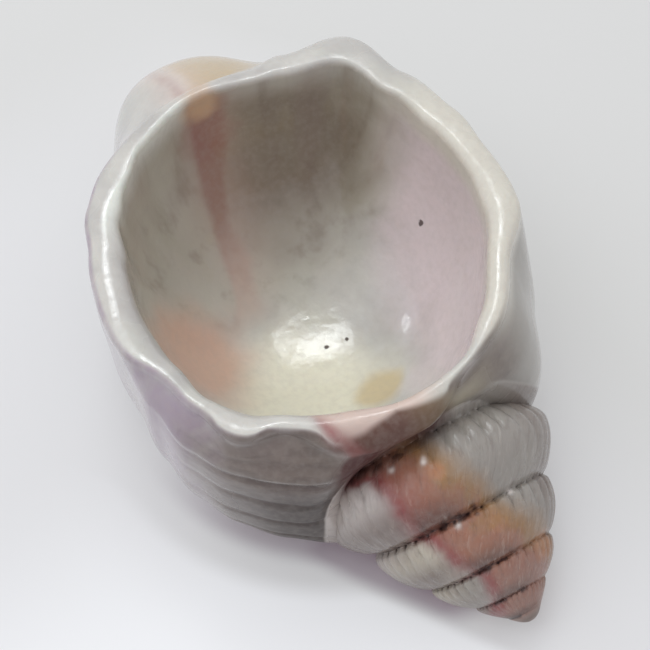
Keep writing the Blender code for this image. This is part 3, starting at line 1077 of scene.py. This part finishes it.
class ShellMap:
    """Where a point on the surface lies: in the hollow, on the wall or on a whorl of the spire.

    The strength of the cleft's painted shade and the overhang's start are given over y, and each
    pit is a place and its size, all in mm from the bowl's axis.
    """

    lip_marks: int = 45
    cleft_middle: float = 39.6
    cleft_width: float = 1.6
    # The middle of the darkest painted shade in the crevice.
    hole_place: Colour = (38.5, -15.3, 36.8)
    # How strong the painted shade in the cleft is, over y.
    cleft_shade_strength: Line = (
        (-15.5, 1.0), (-13.0, 0.85), (-10.5, 0.4), (-7.0, 0.4), (-5.0, 0.7), (-3.0, 1.0),
        (0.0, 1.0), (5.0, 0.0),
    )
    # Where the painted shade under the lip starts past the crest, over y.
    overhang_start: Line = (
        (-17.0, 2.4), (-13.0, 1.6), (-10.0, 0.4), (-6.5, -0.7), (-3.0, 0.0), (0.0, 0.5),
        (3.0, 0.8), (8.0, 1.0),
    )
    pit_places: tuple[tuple[Colour, float], ...] = (
        ((-2.1, 29.1, 21.2), 0.85),
        ((4.0, 1.5, 7.2), 0.65),
        ((5.1, 5.9, 7.5), 0.5),
    )

    def __init__(self, bench: NodeBench, place: Place, bowl: Bowl, spire: Spire) -> None:
        """Works out where a point lies.

        Args:
            bench: where the nodes are made.
            place: the point, in mm from the bowl's axis.
            bowl: the bowl.
            spire: the spire.
        """
        self.bench = bench
        self.place = place
        self.x, self.y, self.z = place.axes()
        self.angle = self.y.maths("ARCTAN2", self.y, self.x) * (180.0 / math.pi)
        first = bowl.lobes[0].angle
        self.angle = self.angle.maths("WRAP", self.angle, first + 360.0, first)
        inner, crest, outer = (self.round_lip(bowl, pick) for pick in (
            lambda lobe: lobe.inner,
            lambda lobe: lobe.crest,
            lambda lobe: lobe.outer,
        ))
        radius = (place * (1.0, 1.0, 0.0)).length()
        between = inner * self.z.follow(((7.0, 0.75), (20.0, 0.92), (42.0, 1.0))) + 2.0
        self.inside = (radius - between).step(0.9, -0.9)
        self.beyond_crest = radius - crest
        self.map_spire(spire)
        self.map_wall(bowl, radius - outer)
        self.map_gap()
        self.map_whorls(spire)

    def near(self, spot: Colour, unrest: Value, far: float, close: float) -> Value:
        """Marks the neighbourhood of a spot, with a ragged edge.

        Args:
            spot: the middle, in mm from the bowl's axis.
            unrest: how much further off each point counts as, in mm.
            far: the distance at which nothing is left.
            close: the distance within which the mark is whole.

        Returns:
            1 close to the spot and 0 far from it.
        """
        return (self.place.distance(spot) + unrest).step(far, close)

    def map_spire(self, spire: Spire) -> None:
        """Works out how far along the spire a point lies, its turn, and whether it is on it.

        Args:
            spire: the spire.
        """
        reach = self.place - tuple(spire.tip)
        self.along = reach.dot(spire.axis())
        sideways, upward = reach.dot(spire.side()), reach.dot(spire.upward())
        self.turn = sideways.maths("ARCTAN2", sideways, upward)
        flared = self.along * (-1.0 / spire.flare)
        cone = 1.0 - flared.maths("EXPONENT", flared)
        tilt = abs(self.turn.maths("SINE", self.turn))
        slim = self.along.step(spire.root_start, spire.length) * (tilt * 0.7 + 0.1)
        full = (self.turn - spire.root_full_turn).bell(spire.root_full_spread)
        slim = slim * (1.0 - full * spire.root_fullness) * spire.root_taper
        off_axis = (sideways * sideways + upward * upward) ** 0.5
        aside = off_axis - cone * (1.2 - slim) * spire.widest
        self.on_spire = aside.step(1.2, 0.2) * self.along.step(40.4, 39.2)

    def map_wall(self, bowl: Bowl, beyond_lip: Value) -> None:
        """Works out whether a point is on the outer wall, on its front or in a groove.

        Args:
            bowl: the bowl.
            beyond_lip: how far outside the lip's outer edge the point lies, in mm.
        """
        below = self.z.step(39.0, 37.0)
        low = below.maths("MAXIMUM", below, beyond_lip.step(-1.3, -0.4))
        self.wall = low * (1.0 - self.inside) * (1.0 - self.on_spire)
        soft = (self.bench.noise(self.place, 9.0, 4.0, 0.5) - 0.5) * 10.0
        self.front = (self.x + soft).step(12.0, 27.0) * (self.y - self.x * 0.5).step(4.0, -12.0)
        self.front = self.front * self.wall
        # The low front of the wall, where painted shade is laid on.
        self.low_front = self.front * self.z.step(38.0, 27.0) * self.x.step(20.0, 38.0)
        groove = self.z * 0.0
        for height, depth in zip(bowl.groove_heights, bowl.groove_depths):
            groove = groove + (self.z - height).bell(0.5) * (1.1 * depth)
        nearby = (self.angle - math.degrees(bowl.groove_angle)).bell(22.0)
        self.groove = groove.clamped() * nearby

    def map_gap(self) -> None:
        """Works out whether a point is under the lip by the spire, in the crevice or in a pit."""
        # The lip's underside beside the spire, where painted shade is laid on.
        below = self.y.step(-18.5, -15.0) * self.y.step(16.0, 6.0) * self.x.step(24.0, 30.0)
        below = below * self.z.step(28.0, 34.0) * (1.0 - self.on_spire)
        start = self.y.follow(self.overhang_start)
        self.overhang = (self.beyond_crest - start).step(0.0, 1.5) * below
        # Painted shade along the crevice between the bowl and the spire, darkest at one spot.
        cleft = (self.along - self.cleft_middle).bell(self.cleft_width)
        cleft = cleft * self.z.step(41.0, 38.0) * self.y.step(-22.0, -18.0)
        cleft = cleft * self.y.follow(self.cleft_shade_strength)
        hole = self.place.distance(self.hole_place).step(4.2, 2.2)
        self.crevice = (cleft + hole).clamped() * (1.0 - self.inside)
        ragged = (self.bench.noise(self.place, 0.8, 1.0) - 0.5) * 0.8
        self.pits = self.z * 0.0
        for pit, size in self.pit_places:
            self.pits = self.pits + self.near(pit, ragged, size, 0.5 * size)

    def map_whorls(self, spire: Spire) -> None:
        """Works out how far across its whorl a point lies, with its sutures and scratches.

        Args:
            spire: the spire.
        """
        scale = self.along + spire.whorl_start
        scale = scale * (1.0 / (spire.first_suture + spire.whorl_start))
        whorl = scale.maths("LOGARITHM", scale, spire.whorl_growth)
        level = self.turn - self.turn.maths("SINE", self.turn) * spire.suture_level
        coiled = whorl - level * (1.0 / math.tau)
        self.share = coiled.maths("FRACT", coiled)
        self.rim = self.share.maths("MINIMUM", self.share, 1.0 - self.share)
        leftward = self.turn.step(-0.15, 0.35) * self.on_spire * self.along.step(4.0, 7.0)
        leftward = leftward * self.along.step(35.0, 32.0)
        self.suture = self.rim.bell(0.028) * leftward
        phase = self.turn * (0.5 * spire.rib_count) + self.share * spire.rib_slant
        gap = abs(phase.maths("SINE", phase)).step(0.55, 0.15)
        self.dots = self.rim.bell(0.055) * gap * leftward
        inputs = {0: self.turn * 26.0 + self.share * 9.0, 1: self.share * 5.0, 2: self.along * 0.05}
        combed = self.bench.make("ShaderNodeCombineXYZ", {}, inputs)
        self.streaks = self.bench.noise(Place(self.bench, combed.outputs[0]), 1.0, 5.0, 0.7)

    def round_lip(self, bowl: Bowl, pick: Callable[[Lobe], float]) -> Value:
        """Looks up one of the lip's distances from the bowl's axis, all the way round.

        Args:
            bowl: the bowl.
            pick: takes the distance from the measures at an angle.

        Returns:
            The distance at the point's angle.
        """
        first, step = bowl.lobes[0].angle, 360.0 / self.lip_marks
        angles = [first + step * mark for mark in range(self.lip_marks + 1)]
        points = [(angle, pick(bowl.lobe_at(math.radians(angle)))) for angle in angles]
        return self.angle.curve(tuple(points))


@dataclass
class ShellDish:
    """The dish: the bowl and the spire as one stone."""

    bowl: Bowl = field(default_factory=Bowl)
    spire: Spire = field(default_factory=Spire)
    finish: StoneFinish = field(default_factory=StoneFinish)
    axis: Vector = field(default_factory=lambda: Vector((-3.943, -2.1175, 0.0)))
    sharp_angle: float = math.radians(55.0)

    def shaped_sphere(self, name: str, segments: int, section: Section) -> bpy.types.Object:
        """Bends a sphere into shape, meridian by meridian.

        Args:
            name: the object's name.
            segments: how many meridians it has.
            section: gives the points of a meridian, in mm from the bowl's axis.

        Returns:
            The closed object.
        """
        meridian = lru_cache(maxsize=None)(lambda index: section(math.tau * index / segments))
        rings = len(meridian(0)) - 1
        mesh = bmesh.new()
        bmesh.ops.create_uvsphere(mesh, u_segments=segments, v_segments=rings, radius=1.0)
        for vertex in mesh.verts:
            ring = round(rings * math.acos(max(-1.0, min(1.0, -vertex.co.z))) / math.pi)
            index = round(math.atan2(vertex.co.y, vertex.co.x) * segments / math.tau) % segments
            vertex.co = (meridian(index)[ring] + self.axis) * MM
        bmesh.ops.recalc_face_normals(mesh, faces=mesh.faces)
        data = bpy.data.meshes.new(name)
        mesh.to_mesh(data)
        mesh.free()
        made = bpy.data.objects.new(name, data)
        bpy.context.scene.collection.objects.link(made)
        return made

    def build(self) -> bpy.types.Object:
        """Builds the bowl and the spire and joins them.

        Returns:
            The dish as one closed piece.
        """
        dish = self.shaped_sphere(
            "carved_dish", self.bowl.segments, lambda angle: self.bowl.section(angle, self.spire)
        )
        coil = self.shaped_sphere("coil", self.spire.segments, self.spire.section)
        union = dish.modifiers.new("spire", "BOOLEAN")
        union.operation = "UNION"
        union.solver = "EXACT"
        union.object = coil
        whole = dish.evaluated_get(bpy.context.evaluated_depsgraph_get())
        joined = bpy.data.meshes.new_from_object(whole)
        dish.modifiers.clear()
        dish.data = joined
        bpy.data.objects.remove(coil, do_unlink=True)
        joined.shade_smooth()
        joined.set_sharp_from_angle(angle=self.sharp_angle)
        return dish

    def dress(self, dish: bpy.types.Object) -> None:
        """Gives the dish its stone and ties it to the frame.

        Args:
            dish: the finished piece.
        """
        dish.data.materials.clear()
        self.finish.dress(dish, self.bowl, self.spire, self.axis)
        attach(dish, "root")
        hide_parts("shell_dish")


class Lamp(Enum):
    """The lamps.

    Each has its azimuth and elevation in degrees, its watts, its two sides in metres and
    whether the polish mirrors it.
    """

    WINDOW = (245.0, 56.0, 1.30, 0.46, 0.24, True)
    GLINT = (246.0, 57.0, 0.42, 0.20, 0.11, True)
    SOFT_WALL = (300.0, 62.0, 7.40, 1.6, 1.2, False)


@dataclass
class Studio:
    """The table top, the light and the camera.

    Lengths are in metres, apart from those of the table's glow, which are in mm.
    """

    target: Vector = field(default_factory=lambda: Vector((0.0014, -0.00177, 0.020)))
    azimuth: float = 55.0
    elevation: float = 62.0
    distance: float = 0.260
    lens: float = 74.2
    nearest: float = 0.01
    table_size: float = 3.0
    table_roughness: float = 0.6
    table_colour: Colour = (0.74, 0.745, 0.74)
    table_glow: Colour = (0.76, 0.765, 0.77)
    # The glow's painted light: dimmer far off, brighter in front of the dish, and a painted shadow
    # colour beside it.
    painted_dim_glow: Colour = (0.58, 0.585, 0.53)
    painted_light_glow: Colour = (1.20, 1.23, 1.27)
    painted_shadow_glow: Colour = (0.12, 0.04, 0.10)
    table_front: Vector = field(default_factory=lambda: Vector((0.514, -0.858, 0.0)))
    dish_front: float = 38.9
    table_glow_share: float = 0.32
    sky_colour: Colour = (0.97, 0.94, 1.0)
    sky_strength: float = 0.68
    lamp_colour: Colour = (0.93, 0.98, 1.0)
    lamp_distance: float = 1.2

    def direction(self, azimuth: float, elevation: float) -> Vector:
        """Works out the direction from the dish to where something stands.

        Args:
            azimuth: round the dish, in degrees.
            elevation: above the table, in degrees.

        Returns:
            The direction, one unit long.
        """
        around, above = math.radians(azimuth), math.radians(elevation)
        level = Vector((math.sin(around), -math.cos(around), 0.0)) * math.cos(above)
        return level + Vector((0.0, 0.0, math.sin(above)))

    def lay_table(self) -> bpy.types.Object:
        """Lays the plain pale table top.

        Returns:
            The table top.
        """
        mesh = bmesh.new()
        bmesh.ops.create_grid(mesh, x_segments=1, y_segments=1, size=self.table_size)
        data = bpy.data.meshes.new("table_top")
        mesh.to_mesh(data)
        mesh.free()
        table = bpy.data.objects.new("table_top", data)
        bpy.context.scene.collection.objects.link(table)
        data.materials.append(self.table_material())
        return table

    def table_material(self) -> bpy.types.Material:
        """Makes the table's white, which the camera sees a little brighter than it is, with painted
        light and a painted shadow in that glow.

        Returns:
            The material.
        """
        material = bpy.data.materials.new("pale_table")
        material.use_nodes = True
        bench = NodeBench(material)
        surface = material.node_tree.nodes["Principled BSDF"]
        surface.inputs["Base Color"].default_value = (*self.table_colour, 1.0)
        surface.inputs["Roughness"].default_value = self.table_roughness
        inputs = {"Color": self.table_tint(bench), "Strength": 1.0}
        glow = bench.make("ShaderNodeEmission", {}, inputs)
        path = bench.make("ShaderNodeLightPath", {}, {})
        kinds = ("Is Camera Ray", "Is Glossy Ray", "Is Transmission Ray")
        camera, glossy, transmission = (Value(bench, path.outputs[kind]) for kind in kinds)
        seen = (camera + glossy + transmission).clamped()
        mixed = bench.make("ShaderNodeMixShader", {}, {0: seen * self.table_glow_share})
        bench.tree.links.new(surface.outputs[0], mixed.inputs[1])
        bench.tree.links.new(glow.outputs[0], mixed.inputs[2])
        output = material.node_tree.nodes["Material Output"]
        bench.tree.links.new(mixed.outputs[0], output.inputs["Surface"])
        return material

    def table_tint(self, bench: NodeBench) -> Tint:
        """Works out the table's glow.

        Args:
            bench: where the nodes are made.

        Returns:
            The colour: painted light in front of the dish, a painted shadow where the spire and
                bowl
            rest, and painted dimming towards +Y and far towards -X.
        """
        place = bench.surface(Vector())
        x, y, _ = place.axes()
        # Painted dimming of the light towards +Y and far towards -X.
        far = (y.step(15.0, 55.0) + x.step(-60.0, -110.0)).clamped()
        tint = bench.colour(self.table_glow, self.painted_dim_glow, far)
        outward = place.dot(self.table_front) - self.dish_front
        away = place.length()
        # Painted light: the glow is raised in front of the dish.
        front = away.step(46.5, 52.0) * outward.step(1.2, 4.6) * x.step(-15.0, 35.0)
        front = front * x.step(100.0, 66.0) * away.step(130.0, 84.0)
        tint = tint.mixed(self.painted_light_glow, front)
        # Painted shadow: the glow is lowered along the spire's front and beside the bowl's foot.
        contact = outward.step(3.6, -0.2) * outward.step(-14.0, -8.0)
        contact = contact * x.step(29.0, 40.0) * x.step(62.0, 55.0)
        beside = away.step(45.0, 40.5) * y.step(-8.0, -22.0) * x.step(-6.0, 24.0) * 0.8
        return tint.mixed(self.painted_shadow_glow, (contact + beside).clamped())

    def hang_lamp(self, kind: Lamp) -> None:
        """Adds a soft lamp that faces the dish.

        Args:
            kind: which lamp.
        """
        azimuth, elevation, power, width, height, mirrored = kind.value
        lamp = bpy.data.lights.new(kind.name.lower(), "AREA")
        lamp.shape = "RECTANGLE"
        lamp.energy = power
        lamp.size, lamp.size_y = width, height
        lamp.color = self.lamp_colour
        stand = bpy.data.objects.new(kind.name.lower(), lamp)
        stand.visible_glossy = mirrored
        towards = self.direction(azimuth, elevation)
        stand.location = self.target + towards * self.lamp_distance
        stand.rotation_euler = towards.to_track_quat("Z", "Y").to_euler()
        bpy.context.scene.collection.objects.link(stand)

    def light_sky(self) -> None:
        """Gives the room its soft even light."""
        world = bpy.data.worlds.new("soft_room")
        world.use_nodes = True
        background = world.node_tree.nodes["Background"]
        background.inputs["Color"].default_value = (*self.sky_colour, 1.0)
        background.inputs["Strength"].default_value = self.sky_strength
        bpy.context.scene.world = world

    def place_camera(self) -> None:
        """Sets the camera above the dish, looking down at it."""
        camera = bpy.data.cameras.new("camera")
        camera.lens = self.lens
        camera.clip_start = self.nearest
        stand = bpy.data.objects.new("camera", camera)
        back = self.direction(self.azimuth, self.elevation)
        stand.location = self.target + back * self.distance
        stand.rotation_euler = back.to_track_quat("Z", "Y").to_euler()
        bpy.context.scene.collection.objects.link(stand)
        bpy.context.scene.camera = stand

    def build(self) -> None:
        """Sets up the table, the light and the camera."""
        self.lay_table()
        self.light_sky()
        for kind in Lamp:
            self.hang_lamp(kind)
        self.place_camera()
        bpy.context.scene.view_settings.view_transform = "Standard"


def main() -> None:
    """Builds the dish and its studio, and writes how large the dish came out."""
    logging.basicConfig(level=logging.INFO, format="%(message)s")
    dish = ShellDish()
    piece = dish.build()
    dish.dress(piece)
    LOG.info("%s: %d faces", piece.name, len(piece.data.polygons))
    Studio().build()


if __name__ == "__main__":
    main()
